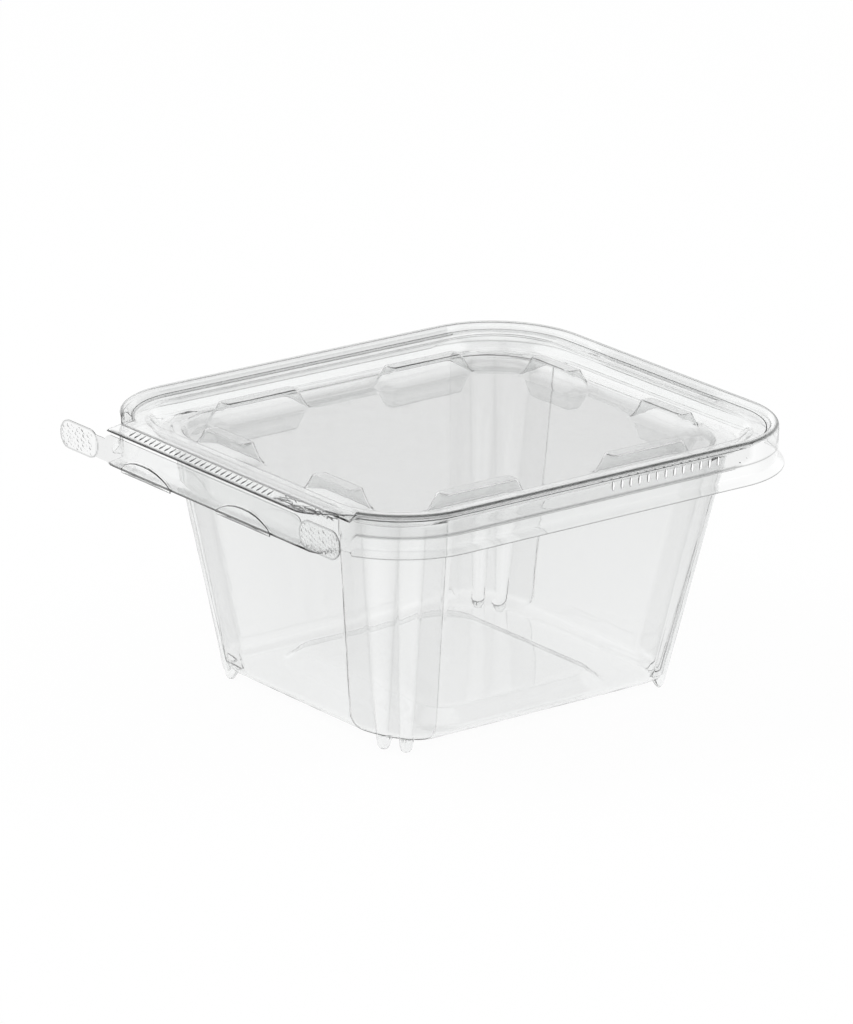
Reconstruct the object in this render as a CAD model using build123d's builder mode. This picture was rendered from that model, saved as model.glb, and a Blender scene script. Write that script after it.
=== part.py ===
from build123d import *
import math
import os

os.makedirs("parts", exist_ok=True)

# Plastic clamshell pack, one clear thermoformed sheet: a drafted cup with a flanged rim, a flanged lid with
# a recessed panel, and between them a strip that folds along both of its long edges and carries pull tabs.
# Millimetres, +Z up, origin on the surface under the middle of the closed pack.
# The hinge side is -X, and lengths along X below are told from the middle of the tub.

# Sheet
sheet = 0.5

# Rim of the tub, seen from above
rim_length = 129.6
rim_width = 111.2
rim_corner = 23.5
bead_width = 2.2
ridge_edge = 6.0
slope_run = 2.4

# Rim of the tub, heights
ledge_height = 59.4
ridge_rise = 3.0
bead_rise = 2.3
skirt_height = 9.8
lip_flare = 1.55
lip_height = 1.8

# Grip band, pressed into the skirt
band_depth = 0.8
band_low = 4.4
band_high = 9.0
band_end = 44.0
band_front_half = 22.0

# Cup
foot_height = 1.9
cup_length = 83.5
cup_width = 71.5
cup_draft = 10.2
mouth_flare = 1.0
mouth_flare_height = 2.4
base_round_height = 2.5
base_round_run = 2.5
corner_x_low = 9.6
corner_y_low = 16.2
corner_x_high = 14.0
corner_y_high = 18.0
column_proud = 0.8
column_blend = 0.9
column_foot = 4.0

# Ribs of the corner columns and the nubs that they end in
rib_foot_radius = 1.55
rib_top_radius = 2.8
rib_foot_spots = [(40.0, 28.3), (37.3, 33.0)]
rib_top_spots = [(49.4, 35.9), (43.9, 42.9)]
nub_centre = 1.3

# Raised floor panel
floor_panel_length = 48.0
floor_panel_width = 54.0
floor_panel_corner = 6.0
floor_panel_rise = 2.9
floor_panel_run = 3.6

# Hinge side of the tub
hinge_gate_half = 43.0
web_run = 1.7
hinge_plate_half = 40.0
fold_gap = 0.3

# Lock tongues, outlines as (Y, height over the underside of the hinge plate)
tongue_far = [
    (31.9, 0.0),
    (31.9, 0.9),
    (30.7, 2.2),
    (28.2, 3.4),
    (26.0, 3.8),
    (23.0, 3.8),
    (20.0, 3.5),
    (15.9, 2.3),
    (13.4, 0.9),
    (13.4, 0.0),
]
tongue_near = [
    (-3.6, 0.0),
    (-3.6, 0.9),
    (-5.6, 2.0),
    (-8.3, 3.3),
    (-11.0, 3.9),
    (-15.0, 4.1),
    (-18.6, 3.3),
    (-21.6, 2.1),
    (-23.4, 0.9),
    (-23.4, 0.0),
]
window_gap = 0.3

# Tear strip
strip_overhang = 5.35
strip_far_end = 39.0
strip_near_end = 34.5
strip_end_round = 2.5
fold_line = 0.15
neck_width = 5.3
neck_length = 3.5
tab_length = 14.6
tab_width = 6.9
tab_round = 3.3
far_tab_drop = 0.55
near_tab_reach = 13.6

# Lid
lid_gap = 0.3
lid_side_gap = 0.6
plateau_width = 4.2
lid_slope_run = 2.4
lid_slope_drop = 3.0
panel_length = 103.9
panel_width = 87.2
panel_corner = 15.5
panel_depth = 2.0
panel_wall_run = 1.8
flange_fold_half = 39.0
flange_root_half = 42.0
flange_corner = 3.0

# Stacking lugs of the lid, two on each side
lug_rise = 2.8
lug_outer_run = 1.5
lug_top_width = 4.0
lug_inner_run = 1.0
lug_round = 1.4
lug_foot_round = 1.9
lug_long_spot = 24.5
lug_long_top = 21.5
lug_long_foot = 27.0
lug_short_spot = 20.0
lug_short_top = 15.0
lug_short_foot = 22.0

# Derived heights
ridge_height = ledge_height + ridge_rise
bead_height = ridge_height + bead_rise
skirt_bottom = bead_height - skirt_height
lid_underside = ridge_height + lid_gap
lid_top = lid_underside + sheet
border_height = lid_top - lid_slope_drop
panel_height = border_height - panel_depth
lug_height = border_height + lug_rise
hinge_plate_top = skirt_bottom + sheet

# Derived places along X, from the middle of the tub
rim_half = rim_length / 2
strip_outer = -rim_half - strip_overhang
strip_inner = strip_outer + sheet
hinge_edge = strip_inner + fold_gap
web_top = -rim_half + bead_width + lid_gap
web_foot = web_top - web_run

# The tub's middle stands off the origin, so that the whole pack is centred on it
tub_x = (strip_overhang - lip_flare) / 2

# Slope angles, halved: a face that is set back by the sheet moves sideways by this share of it
ledge_lean = math.tan(math.atan2(ridge_rise, slope_run) / 2)
lid_lean = math.tan(math.atan2(lid_slope_drop, lid_slope_run) / 2)
panel_lean = math.tan(math.atan2(panel_depth, panel_wall_run) / 2)
floor_lean = math.tan(math.atan2(floor_panel_rise, floor_panel_run) / 2)
lug_lean = math.tan(math.atan2(lug_rise, lug_outer_run) / 2)

quarters = [(1, 1), (-1, 1), (-1, -1), (1, -1)]


def level(z):
    """Horizontal plane at height z, centred on the tub."""
    return Plane(origin=(tub_x, 0, z))


def rounded(length, width, corner, z):
    """Rounded rectangle round the middle of the tub."""
    with BuildSketch(level(z)) as outline:
        RectangleRounded(length, width, corner)
    return outline.sketch


def rim_outline(inset, z):
    """Outline of the rim at an inset from its outer face."""
    return rounded(rim_length - 2 * inset, rim_width - 2 * inset, rim_corner - inset, z)


def rim_form(depth):
    """Everything under the rim's upper face, with that face set back by the depth."""
    below = skirt_bottom - 2 * depth
    crown = bead_height - depth
    ridge = ridge_height - depth
    ledge = ledge_height - depth
    slope_top = ridge_edge - depth * ledge_lean
    flare = lip_flare * (1 + 2 * depth / lip_height)
    band_length = rim_length - 2 * (band_depth + depth)
    band_width = rim_width - 2 * (band_depth + depth)
    with BuildPart() as form:
        extrude(rim_outline(depth, below), amount=crown - below)
        loft([rim_outline(depth - flare, below), rim_outline(depth, skirt_bottom + lip_height)], ruled=True)
        extrude(rim_outline(bead_width - depth, ridge), amount=2 * bead_rise, mode=Mode.SUBTRACT)
        loft(
            [rim_outline(slope_top + slope_run, ledge), rim_outline(slope_top, ridge)],
            ruled=True,
            mode=Mode.SUBTRACT,
        )
        # Grip band, round the hinge corners, along both sides and across the front
        with BuildSketch(level(skirt_bottom + band_low - depth)):
            with Locations((band_end + depth - rim_length, 0)):
                Rectangle(2 * rim_length, 2 * rim_width)
            with Locations((rim_half, 0)):
                Rectangle(rim_half, 2 * (band_front_half + depth))
            RectangleRounded(band_length, band_width, rim_corner - band_depth - depth, mode=Mode.SUBTRACT)
        extrude(amount=band_high - band_low + 2 * depth, mode=Mode.SUBTRACT)
        # Gap in the bead where the hinge flange of the lid passes
        with BuildSketch(level(ridge)):
            with Locations((-rim_length + ridge_edge, 0)):
                Rectangle(rim_length, 2 * (hinge_gate_half + depth))
        extrude(amount=2 * bead_rise, mode=Mode.SUBTRACT)
        # Sloped web that takes the place of the skirt there
        with BuildSketch(Plane.XZ):
            with BuildLine():
                Polyline(
                    (tub_x + web_top + depth, bead_height + sheet),
                    (tub_x + web_top + depth, ridge_height),
                    (tub_x + web_foot + depth, skirt_bottom),
                    (tub_x + web_foot + depth - web_run, skirt_bottom - ridge_height + skirt_bottom),
                    (tub_x - rim_length, skirt_bottom - ridge_height + skirt_bottom),
                    (tub_x - rim_length, bead_height + sheet),
                    close=True,
                )
            make_face()
        extrude(amount=hinge_gate_half + depth, both=True, mode=Mode.SUBTRACT)
    return form.part


def cup_section(z, grow, inset, proud):
    """Outline of the cup: flat walls, and elliptical corners that stand proud of them."""
    rise = z - foot_height
    share = rise / (ledge_height - foot_height)
    draft = rise * math.tan(math.radians(cup_draft))
    half_x = cup_length / 2 + draft + grow - sheet - inset
    half_y = cup_width / 2 + draft + grow - sheet - inset
    flat_x = half_x - corner_x_low - share * (corner_x_high - corner_x_low)
    flat_y = half_y - corner_y_low - share * (corner_y_high - corner_y_low)
    centre_x = flat_x + column_blend
    centre_y = flat_y + column_blend
    radius_x = half_x + proud - centre_x
    radius_y = half_y + proud - centre_y
    with BuildSketch(level(z)) as section:
        with BuildLine():
            for side in (-1, 1):
                Line((side * half_x, -flat_y), (side * half_x, flat_y))
                Line((-flat_x, side * half_y), (flat_x, side * half_y))
            for turn, (sx, sy) in enumerate(quarters):
                EllipticalCenterArc((sx * centre_x, sy * centre_y), radius_x, radius_y, 90 * turn, arc_size=90)
                Line((sx * half_x, sy * flat_y), (sx * (half_x + proud), sy * centre_y))
                Line((sx * flat_x, sy * half_y), (sx * centre_x, sy * (half_y + proud)))
        make_face()
    return section.sketch


def rib_spot(number, z):
    """Centre and outer radius of a rib at height z, in the corner of +X and +Y."""
    share = (z - nub_centre) / (ledge_height - nub_centre)
    foot = rib_foot_spots[number]
    top = rib_top_spots[number]
    x = foot[0] + share * (top[0] - foot[0])
    y = foot[1] + share * (top[1] - foot[1])
    return x, y, rib_foot_radius + share * (rib_top_radius - rib_foot_radius)


def rib_form(grow, top):
    """The ribs with their rounded nubs, two in each corner, grown by the given amount and flat underneath."""
    nub_radius = rib_foot_radius - sheet + grow
    flat = sheet - grow
    below = nub_centre - flat
    nub_rings = []
    for share in (1, 0.55):
        nub_rings.append((nub_centre - share * below, math.sqrt(nub_radius**2 - (share * below) ** 2)))
    with BuildPart() as ribs:
        for number in (0, 1):
            foot_x, foot_y, foot_radius = rib_spot(number, nub_centre)
            top_x, top_y, top_radius = rib_spot(number, top)
            rings = [(foot_x, foot_y, z, radius) for z, radius in nub_rings]
            rings.append((foot_x, foot_y, nub_centre, nub_radius))
            rings.append((top_x, top_y, top, top_radius - sheet + grow))
            for sx, sy in quarters:
                for x, y, z, radius in rings:
                    with BuildSketch(level(z)):
                        with Locations((sx * x, sy * y)):
                            Circle(radius)
                loft(ruled=True)
    return ribs.part


def cup_form(grow, over):
    """The cup's inner space, grown by the given amount and cut off at a height over the ledge."""
    base = foot_height + sheet - grow
    mouth = ledge_height - mouth_flare_height
    top = ledge_height + over
    flare = mouth_flare * (1 + over / mouth_flare_height) - mouth_flare_height * math.tan(math.radians(cup_draft))
    sections = [
        cup_section(base, grow, base_round_run, 0.15 * column_proud),
        cup_section(base + 0.3 * base_round_height, grow, 0.3 * base_round_run, 0.3 * column_proud),
        cup_section(base + base_round_height, grow, 0, 0.6 * column_proud),
        cup_section(base + base_round_height + column_foot, grow, 0, column_proud),
        cup_section(mouth, grow, 0, column_proud),
        cup_section(top, grow, -flare, column_proud),
    ]
    panel_rise = floor_panel_rise
    panel_back = 2 * grow * floor_lean
    with BuildPart() as form:
        loft(sections, ruled=True)
        # Raised floor panel, continued down past the base so that it cuts cleanly
        loft(
            [
                rounded(
                    floor_panel_length + 4 * floor_panel_run - panel_back,
                    floor_panel_width + 4 * floor_panel_run - panel_back,
                    floor_panel_corner + 2 * floor_panel_run,
                    base - panel_rise,
                ),
                rounded(
                    floor_panel_length - panel_back,
                    floor_panel_width - panel_back,
                    floor_panel_corner,
                    base + panel_rise,
                ),
            ],
            ruled=True,
            mode=Mode.SUBTRACT,
        )
        add(rib_form(grow, top))
    return form.part


def tongue_outline(points, gap):
    """Outline of a lock tongue in the plane of the strip, wider all round by the gap."""
    with BuildSketch(Plane.YZ.offset(tub_x + strip_outer)) as outline:
        with BuildLine():
            Polyline([(y, skirt_bottom + z) for y, z in points], close=True)
        make_face()
        if gap > 0:
            offset(amount=gap)
    return outline.sketch


def lug(side_plane, foot_length, top_length, depth):
    """Stacking lug on a plane that lies on the border's inner edge, with -Y inwards."""
    foot = panel_height - depth
    back = 2 * depth * lug_lean
    # Below the border the outer face goes on at its slope
    hidden = lug_outer_run * panel_depth / lug_rise
    foot_width = hidden + lug_outer_run + lug_top_width + lug_inner_run
    foot_middle = (hidden - lug_outer_run - lug_top_width - lug_inner_run) / 2
    top_middle = -lug_outer_run - lug_top_width / 2
    with BuildPart() as block:
        with BuildSketch(side_plane.offset(foot)):
            with Locations((0, foot_middle)):
                RectangleRounded(foot_length - back, foot_width - back, lug_foot_round)
        with BuildSketch(side_plane.offset(lug_height - depth)):
            with Locations((0, top_middle)):
                RectangleRounded(top_length - back, lug_top_width - back, lug_round)
        loft(ruled=True)
    return block.part


def lid_form(depth):
    """Everything under the lid's upper face, with that face set back by the depth."""
    below = panel_height - 4 * sheet - 2 * depth
    plateau = lid_top - depth
    border = border_height - depth
    panel = panel_height - depth
    edge = bead_width + lid_side_gap
    slope_top = edge + plateau_width - depth * lid_lean
    panel_back = 2 * depth * panel_lean
    with BuildPart() as form:
        with BuildSketch(level(below)) as outline:
            RectangleRounded(rim_length - 2 * edge, rim_width - 2 * edge, rim_corner - edge)
            with BuildLine():
                Polyline(
                    (-rim_half + rim_corner, -flange_root_half),
                    (-rim_half, -flange_root_half),
                    (strip_inner + fold_line, -flange_fold_half),
                    (strip_inner + fold_line, flange_fold_half),
                    (-rim_half, flange_root_half),
                    (-rim_half + rim_corner, flange_root_half),
                    close=True,
                )
            make_face()
            fillet(outline.vertices().group_by(Axis.X)[0], radius=flange_corner)
        extrude(amount=plateau - below)
        loft(
            [rim_outline(slope_top + lid_slope_run, border), rim_outline(slope_top, plateau)],
            ruled=True,
            mode=Mode.SUBTRACT,
        )
        loft(
            [
                rounded(
                    panel_length - 2 * panel_wall_run + panel_back,
                    panel_width - 2 * panel_wall_run + panel_back,
                    panel_corner - panel_wall_run,
                    panel,
                ),
                rounded(panel_length + panel_back, panel_width + panel_back, panel_corner, border),
            ],
            ruled=True,
            mode=Mode.SUBTRACT,
        )
        for spot in (-lug_long_spot, lug_long_spot):
            add(lug(Plane(origin=(tub_x + spot, panel_width / 2, 0)), lug_long_foot, lug_long_top, depth))
            add(
                lug(
                    Plane(origin=(tub_x + spot, -panel_width / 2, 0), x_dir=(-1, 0, 0)),
                    lug_long_foot,
                    lug_long_top,
                    depth,
                )
            )
        for spot in (-lug_short_spot, lug_short_spot):
            add(
                lug(
                    Plane(origin=(tub_x + panel_length / 2, spot, 0), x_dir=(0, -1, 0)),
                    lug_short_foot,
                    lug_short_top,
                    depth,
                )
            )
            add(
                lug(
                    Plane(origin=(tub_x - panel_length / 2, spot, 0), x_dir=(0, 1, 0)),
                    lug_short_foot,
                    lug_short_top,
                    depth,
                )
            )
    return form.part


# Tub
rim_upper = rim_form(0)
rim_lower = rim_form(sheet)
cup_outer = cup_form(sheet, -sheet / 2)
cup_inner = cup_form(0, sheet)
with BuildPart() as tub:
    add(rim_upper)
    add(rim_lower, mode=Mode.SUBTRACT)
    add(cup_outer)
    add(cup_inner, mode=Mode.SUBTRACT)
    # Hinge plate at the foot of the web, with the roots of both tongues
    with BuildSketch(level(skirt_bottom)):
        with Locations(((web_foot + sheet + hinge_edge) / 2, 0)):
            Rectangle(web_foot + sheet - hinge_edge, 2 * hinge_plate_half)
        for points in (tongue_far, tongue_near):
            root = points[0][0] - points[-1][0]
            with Locations(((strip_outer + hinge_edge) / 2, (points[0][0] + points[-1][0]) / 2)):
                Rectangle(hinge_edge - strip_outer, root)
    extrude(amount=sheet)
    for points in (tongue_far, tongue_near):
        extrude(tongue_outline(points, 0), amount=sheet)
tub.part.label = "tub"
export_step(tub.part, "parts/tub.step")

# Tear strip, upright beside the hinge plate, from one fold line to the other
strip_low = hinge_plate_top + fold_line
strip_high = lid_underside - fold_line
strip_middle = (strip_low + strip_high) / 2
strip_plane = Plane.YZ.offset(tub_x + strip_outer)
near_tab_middle = -strip_near_end - near_tab_reach + tab_length / 2
far_tab_middle = strip_far_end + neck_length + tab_length / 2 - strip_end_round / 2
with BuildPart() as tear_strip:
    with BuildSketch(strip_plane):
        with Locations(((strip_far_end - strip_near_end) / 2, strip_middle)):
            RectangleRounded(strip_far_end + strip_near_end, strip_high - strip_low, strip_end_round)
        with Locations((near_tab_middle, strip_middle)):
            RectangleRounded(tab_length, tab_width, tab_round)
        with Locations((strip_far_end + neck_length / 2, strip_middle - far_tab_drop)):
            Rectangle(2 * neck_length + 2 * strip_end_round, neck_width)
        with Locations((far_tab_middle, strip_middle - far_tab_drop)):
            RectangleRounded(tab_length, tab_width, tab_round)
    extrude(amount=sheet)
    for points in (tongue_far, tongue_near):
        extrude(tongue_outline(points, window_gap), amount=sheet, mode=Mode.SUBTRACT)
tear_strip.part.label = "tear_strip"
export_step(tear_strip.part, "parts/tear_strip.step")

# Lid
lid_upper = lid_form(0)
lid_lower = lid_form(sheet)
with BuildPart() as lid:
    add(lid_upper)
    add(lid_lower, mode=Mode.SUBTRACT)
lid.part.label = "lid"
export_step(lid.part, "parts/lid.step")
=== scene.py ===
import math

import bpy
import numpy as np
from mathutils import Matrix, Vector


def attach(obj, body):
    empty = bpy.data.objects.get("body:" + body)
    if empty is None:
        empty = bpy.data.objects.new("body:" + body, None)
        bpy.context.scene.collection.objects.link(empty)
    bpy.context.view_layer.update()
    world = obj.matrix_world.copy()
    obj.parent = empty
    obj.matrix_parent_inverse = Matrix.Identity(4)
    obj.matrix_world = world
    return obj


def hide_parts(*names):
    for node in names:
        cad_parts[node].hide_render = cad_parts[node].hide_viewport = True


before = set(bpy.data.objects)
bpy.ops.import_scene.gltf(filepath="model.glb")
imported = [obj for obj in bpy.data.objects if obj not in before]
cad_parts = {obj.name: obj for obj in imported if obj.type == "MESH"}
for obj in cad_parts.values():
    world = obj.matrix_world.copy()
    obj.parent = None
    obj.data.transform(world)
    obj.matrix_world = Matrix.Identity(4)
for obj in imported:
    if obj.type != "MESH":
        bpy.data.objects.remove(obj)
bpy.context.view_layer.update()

MM = 0.001

# Sizes of the pack in millimetres. Lengths along X are told from the middle of the tub
TUB_X = 1.9
SHEET = 0.28
RIM_SHEET = 0.20
RIM_X, RIM_Y, RIM_R = 64.8, 55.6, 23.5
SKIRT_LOW = 54.9
LEDGE_Z = 59.4
FOOT_Z = 1.9
STRIP_OUT = -70.15

# Tint of the sheet, from 1 for clear down to 0 for black. The wall, column, crest, valley and panel values are
# painted shade and painted highlights over the sheet's own tint
CLEAR = 0.985
WALL_TINT_AND_SHADE = 0.898
COLUMN_PAINTED_SHADE, CREST_PAINTED_HIGHLIGHT, VALLEY_PAINTED_SHADE = 0.045, 0.085, 0.09
PANEL_TINT_AND_SHADE = 0.775
STRIP_TINT = 0.91


# ---------------------------------------------------------------- camera
# Angles in degrees and lengths in millimetres, as fitted to the photograph
CAMERA_AZIMUTH, CAMERA_ELEVATION, CAMERA_ROLL = -39.265, 18.601, 1.455
CAMERA_TARGET = (-0.40, 4.72, 39.95)
CAMERA_AWAY = 1653.1
CAMERA_SENSOR = 36.0
FOCAL_PIXELS, LONG_SIDE_PIXELS = 7155.2, 1024


def make_camera():
    """The camera stands where the photograph was taken from."""
    azimuth, elevation, roll = (math.radians(v) for v in (CAMERA_AZIMUTH, CAMERA_ELEVATION, CAMERA_ROLL))
    back = Vector(
        (
            math.sin(azimuth) * math.cos(elevation),
            -math.cos(azimuth) * math.cos(elevation),
            math.sin(elevation),
        )
    )
    right = (-back).cross(Vector((0, 0, 1))).normalized()
    up = right.cross(-back)
    rolled_right = right * math.cos(roll) + up * math.sin(roll)
    rolled_up = up * math.cos(roll) - right * math.sin(roll)
    data = bpy.data.cameras.new("camera")
    data.sensor_width = CAMERA_SENSOR
    data.lens = FOCAL_PIXELS / LONG_SIDE_PIXELS * CAMERA_SENSOR
    data.clip_start = 0.05
    data.clip_end = 20.0
    camera = bpy.data.objects.new("camera", data)
    bpy.context.scene.collection.objects.link(camera)
    place = Matrix((rolled_right, rolled_up, back)).transposed().to_4x4()
    place.translation = Vector(CAMERA_TARGET) * MM + back * CAMERA_AWAY * MM
    camera.matrix_world = place
    bpy.context.scene.camera = camera


make_camera()


# ---------------------------------------------------------------- helpers
def smooth(x, a, b):
    """0 below a, 1 above b, smooth between them."""
    t = np.clip((np.asarray(x, float) - a) / (b - a), 0.0, 1.0)
    return t * t * (3 - 2 * t)


def window(x, a, b, soft):
    """1 between a and b, with soft ends."""
    return smooth(x, a - soft / 2, a + soft / 2) * (1 - smooth(x, b - soft / 2, b + soft / 2))


def stops(*spans):
    """Sample places: each span is (start, end, count), and ends aren't repeated."""
    out = []
    for start, end, count in spans:
        out.extend(np.linspace(start, end, count, endpoint=False))
    return np.array(out)


class Loop:
    """Sample places round a rounded outline: one list for the sides and one for the corners."""

    def __init__(self, side_x, side_y, corner):
        """Sides take shares of the flat from -1 to 1, side_x on those that face along X. Corners take degrees."""
        self.side_x, self.side_y, self.corner = side_x, side_y, np.radians(corner)
        self.count = 2 * len(side_x) + 2 * len(side_y) + 4 * len(corner)

    def ring(self, hx, hy, rx, ry):
        """Points of the outline with half sizes hx, hy and corner half axes rx, ry, anticlockwise from +X."""
        fx, fy = hx - rx, hy - ry
        c, s = np.cos(self.corner), np.sin(self.corner)
        ux, uy = self.side_x, self.side_y
        parts = [
            (np.full(len(ux), hx), ux * fy),
            (fx + rx * c, fy + ry * s),
            (-uy * fx, np.full(len(uy), hy)),
            (-fx - rx * s, fy + ry * c),
            (np.full(len(ux), -hx), -ux * fy),
            (-fx - rx * c, -fy - ry * s),
            (uy * fx, np.full(len(uy), -hy)),
            (fx + rx * s, -fy - ry * c),
        ]
        return np.concatenate([p[0] for p in parts]), np.concatenate([p[1] for p in parts])

    def rim(self, inset):
        """Points of the rim's outline moved in by inset."""
        return self.ring(RIM_X - inset, RIM_Y - inset, RIM_R - inset, RIM_R - inset)

    def corner_angle(self):
        """For each sample, the corner's angle from 0 to 90 degrees, or nan on a side."""
        angle = np.degrees(self.corner)
        on_x, on_y = np.full(len(self.side_x), np.nan), np.full(len(self.side_y), np.nan)
        return np.concatenate([on_x, angle, on_y, angle] * 2)

    def past_corner(self):
        """For each sample on a side, the share of the half flat from its nearer end, or 0 in a corner."""
        none = np.zeros(len(self.corner))
        return np.concatenate([1 - np.abs(self.side_x), none, 1 - np.abs(self.side_y), none] * 2)

    def facing_x(self):
        """Whether each sample is on a side that faces along X, or in the half of a corner beside one."""
        first = np.degrees(self.corner) < 45
        x_side, y_side = np.ones(len(self.side_x), bool), np.zeros(len(self.side_y), bool)
        return np.concatenate([x_side, first, y_side, ~first] * 2)


def flat_row(outline, z):
    """A row of points on an outline, all at height z or each at its own."""
    x, y = outline
    return np.stack([x, y, np.broadcast_to(np.asarray(z, float), x.shape)], 1)


def blend(a, b, share):
    """From a at share 0 to b at share 1."""
    return a + (b - a) * share


def grid_normals(p):
    """Normals of a grid of rows by samples that closes along the samples."""
    along = np.roll(p, -1, 1) - np.roll(p, 1, 1)
    across = np.empty_like(p)
    across[1:-1] = p[2:] - p[:-2]
    across[0] = p[1] - p[0]
    across[-1] = p[-1] - p[-2]
    n = np.cross(along, across)
    size = np.linalg.norm(n, axis=2, keepdims=True)
    return n / np.maximum(size, 1e-9)


def make_object(name, verts, faces, material, body, node=None, smooth_angle=None, tint=CLEAR):
    """A mesh piece in millimetres from the tub's middle, moved into the frame. Tint is one value or one a vertex."""
    mesh = bpy.data.meshes.new(name)
    v = np.asarray(verts, float).copy()
    v[:, 0] += TUB_X
    mesh.from_pydata((v * MM).tolist(), [], faces)
    mesh.update()
    grey = np.broadcast_to(np.asarray(tint, float), (len(v),))
    # The plastic is a trace green
    colour = np.stack([grey, grey + 0.004, grey + 0.0025, np.ones(len(v))], 1)
    # This colour carries the tint and the painted shade and highlights
    tint_and_painted_shade = mesh.attributes.new("tint_and_painted_shade", "FLOAT_COLOR", "POINT")
    tint_and_painted_shade.data.foreach_set("color", np.clip(colour, 0, 1).ravel().astype(np.float32))
    mesh.polygons.foreach_set("use_smooth", [True] * len(mesh.polygons))
    obj = bpy.data.objects.new(name, mesh)
    bpy.context.scene.collection.objects.link(obj)
    obj.data.materials.append(material)
    if smooth_angle is not None:
        mesh.set_sharp_from_angle(angle=math.radians(smooth_angle))
    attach(obj, body)
    if node:
        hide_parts(node)


def shell(upper, thick):
    """Closed thin solid under a grid of rows by samples that closes along the samples.
    Row 0 is the free edge. The last row is closed by a centre point on each side. Thick is one value a row."""
    normals = grid_normals(upper)
    # The upper face looks up in the middle
    if normals[-2, 0, 2] < 0:
        normals = -normals
    lower = upper - normals * thick[:, None, None]
    lower[..., 2] = np.maximum(lower[..., 2], 0.0)
    rows, n, _ = upper.shape
    off = rows * n
    faces = []
    i = np.arange(n)
    j = (i + 1) % n
    for r in range(rows - 1):
        a, b, c, d = r * n + i, r * n + j, (r + 1) * n + j, (r + 1) * n + i
        faces.extend(np.stack([a, b, c, d], 1).tolist())
        faces.extend((np.stack([d, c, b, a], 1) + off).tolist())
    # The free edge
    faces.extend(np.stack([j, i, i + off, j + off], 1).tolist())
    centre_upper, centre_lower = 2 * off, 2 * off + 1
    last = (rows - 1) * n
    faces.extend([[last + int(a), last + int(b), centre_upper] for a, b in zip(i, j)])
    faces.extend([[off + last + int(b), off + last + int(a), centre_lower] for a, b in zip(i, j)])
    centres = [upper[-1].mean(0)[None], lower[-1].mean(0)[None]]
    return np.concatenate([upper.reshape(-1, 3), lower.reshape(-1, 3)] + centres), faces


def shell_tint(tint, centre):
    """Tints of a shell's vertices: a grid of values for both faces, and one for the two centre points."""
    return np.concatenate([tint.ravel(), tint.ravel(), [centre, centre]])


# ---------------------------------------------------------------- material
def clear_plastic(name, rough, ripple, ripple_scale):
    """Clear sheet: it lets light through, with faint ripples left by the forming.
    Its base colour, kept on the mesh per vertex, is the sheet's own tint with painted shade and painted highlights
    in places."""
    m = bpy.data.materials.new(name)
    m.use_nodes = True
    nodes, links = m.node_tree.nodes, m.node_tree.links
    b = nodes["Principled BSDF"]
    b.inputs["Transmission Weight"].default_value = 1.0
    b.inputs["IOR"].default_value = 1.57
    depth = nodes.new("ShaderNodeVolumeAbsorption")
    depth.inputs["Color"].default_value = (0.0, 0.02, 0.02, 1)
    depth.inputs["Density"].default_value = 45.0
    links.new(depth.outputs["Volume"], nodes["Material Output"].inputs["Volume"])
    coord = nodes.new("ShaderNodeTexCoord")
    tint_and_painted_shade = nodes.new("ShaderNodeAttribute")
    tint_and_painted_shade.attribute_name = "tint_and_painted_shade"
    links.new(tint_and_painted_shade.outputs["Color"], b.inputs["Base Color"])

    def noise(scale, detail):
        node = nodes.new("ShaderNodeTexNoise")
        node.inputs["Scale"].default_value = scale
        node.inputs["Detail"].default_value = detail
        links.new(coord.outputs["Object"], node.inputs["Vector"])
        return node.outputs["Fac"]

    ripples = noise(ripple_scale, 2.0)
    rough_map = nodes.new("ShaderNodeMapRange")
    for socket, value in (("From Min", 0.3), ("From Max", 0.7), ("To Min", rough * 0.5), ("To Max", rough * 1.5)):
        rough_map.inputs[socket].default_value = value
    links.new(noise(900.0, 1.0), rough_map.inputs["Value"])
    links.new(rough_map.outputs["Result"], b.inputs["Roughness"])
    bump = nodes.new("ShaderNodeBump")
    bump.inputs["Strength"].default_value = ripple
    bump.inputs["Distance"].default_value = 0.0004
    links.new(ripples, bump.inputs["Height"])
    links.new(bump.outputs["Normal"], b.inputs["Normal"])
    return m


mat_tub = clear_plastic("clear_sheet_tub", 0.02, 0.25, 60.0)
mat_lid = clear_plastic("clear_sheet_lid", 0.02, 0.25, 60.0)
mat_strip = clear_plastic("clear_sheet_strip", 0.03, 0.35, 90.0)


# ---------------------------------------------------------------- tub
# Rows of the rim as (distance in from the outline, height), from the skirt's free edge over the bead to the ledge
RIM_ROWS = (
    (-1.55, 54.90), (-1.53, 55.0), (-1.42, 55.2), (-1.05, 55.62), (-0.6, 56.08), (-0.15, 56.55), (0.0, 56.8),
    (0.0, 58.2), (0.0, 58.8), (0.0, 59.0), (0.0, 59.15), (0.0, 59.3), (0.0, 59.45), (0.0, 59.6), (0.0, 59.8),
    (0.0, 60.4), (0.0, 61.2), (0.0, 62.0), (0.0, 62.8), (0.0, 63.2), (0.0, 63.4), (0.0, 63.55), (0.0, 63.7),
    (0.02, 63.85), (0.08, 64.05), (0.22, 64.3), (0.45, 64.53), (0.75, 64.66), (1.1, 64.7), (1.45, 64.66),
    (1.75, 64.53), (1.98, 64.3), (2.12, 64.05), (2.18, 63.8), (2.2, 63.4), (2.2, 63.0), (2.24, 62.75),
    (2.36, 62.56), (2.55, 62.44), (2.85, 62.4), (4.2, 62.4), (5.6, 62.4), (5.85, 62.34), (6.1, 62.16),
    (6.6, 61.6), (7.3, 60.72), (7.9, 59.96), (8.12, 59.7), (8.35, 59.5), (8.6, 59.41),
)
# Rows where the skirt's turned-out edge ends, where the bead begins, and where the inner flat begins
EDGE_ROW, BEAD_ROW, FLAT_ROW = 6, 22, 39
# Thickness of the skirt's first rows, which thin towards the cut, and the number of rows that the thin rim has
EDGE_THICK = (0.10, 0.11, 0.13, 0.16, 0.19, 0.20)
THIN_ROWS = 46
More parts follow.
